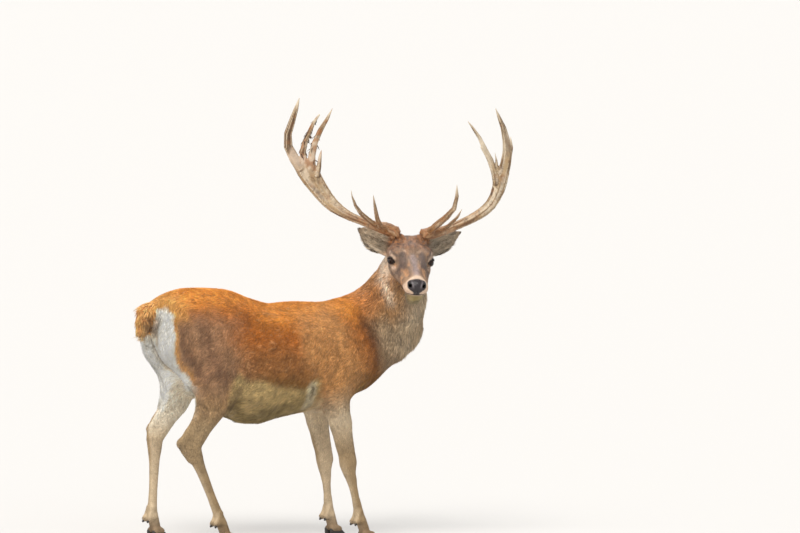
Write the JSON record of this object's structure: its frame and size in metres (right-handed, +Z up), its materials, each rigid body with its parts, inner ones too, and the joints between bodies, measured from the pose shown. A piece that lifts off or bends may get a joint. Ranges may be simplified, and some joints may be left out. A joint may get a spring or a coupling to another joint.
{
  "type": "red deer stag model",
  "caption": "Standing life-size red deer stag with its head turned to the right and full branching antlers, a still display model that stands on its own hooves.",
  "frame": {"origin": "On the floor under the middle of the stag's bounding box; the soles are at Z = 0.", "axes": "+X runs along the trunk towards the chest, +Y to the stag's left, +Z up. The face is turned to the stag's right and slightly back."},
  "size_m": [1.8688, 0.5954, 2.0562],
  "materials": {
    "body_coat": "short dense orange-brown summer hair lying along the body, longer and streaked on the neck",
    "face_coat": "very short grey-brown hair, pale around eyes and muzzle, with a moist dark nose",
    "leg_coat": "short sleek grey-tan hair",
    "pale_coat": "fine short cream hair",
    "tail_coat": "ginger hair on a short tail",
    "hoof": "dark horn with fine growth rings, satin",
    "antler": "beaded and grooved bone, brown in the furrows, polished pale at the tips",
    "eye": "wet, very dark brown, glossy"
  },
  "bodies": {
    "root": {"trunk": "body_coat", "neck": "body_coat", "head": "face_coat", "muzzle": "face_coat", "eye_left": "eye", "eye_right": "eye", "ear_left": "face_coat", "ear_right": "face_coat", "antler_left_back": "antler", "antler_left_beam": "antler", "antler_left_bez": "antler", "antler_left_brow": "antler", "antler_left_fork": "antler", "antler_left_inner": "antler", "antler_left_outer": "antler", "antler_left_side": "antler", "antler_right_beam": "antler", "antler_right_bez": "antler", "antler_right_brow": "antler", "antler_right_inner": "antler", "antler_right_middle": "antler", "antler_right_outer": "antler", "antler_right_small": "antler", "foreleg_left_cannon": "leg_coat", "foreleg_left_dewclaw_inner": "hoof", "foreleg_left_dewclaw_outer": "hoof", "foreleg_left_hoof_inner": "hoof", "foreleg_left_hoof_outer": "hoof", "foreleg_left_pastern": "leg_coat", "foreleg_left_upper": "leg_coat", "foreleg_right_cannon": "leg_coat", "foreleg_right_dewclaw_inner": "hoof", "foreleg_right_dewclaw_outer": "hoof", "foreleg_right_hoof_inner": "hoof", "foreleg_right_hoof_outer": "hoof", "foreleg_right_pastern": "leg_coat", "foreleg_right_upper": "leg_coat", "hindleg_left_cannon": "leg_coat", "hindleg_left_dewclaw_inner": "hoof", "hindleg_left_dewclaw_outer": "hoof", "hindleg_left_hoof_inner": "hoof", "hindleg_left_hoof_outer": "hoof", "hindleg_left_pastern": "leg_coat", "hindleg_left_upper": "leg_coat", "hindleg_right_cannon": "leg_coat", "hindleg_right_dewclaw_inner": "hoof", "hindleg_right_dewclaw_outer": "hoof", "hindleg_right_hoof_inner": "hoof", "hindleg_right_hoof_outer": "hoof", "hindleg_right_pastern": "leg_coat", "hindleg_right_upper": "leg_coat", "scrotum": "pale_coat", "tail": "tail_coat"}
  },
  "joints": []
}
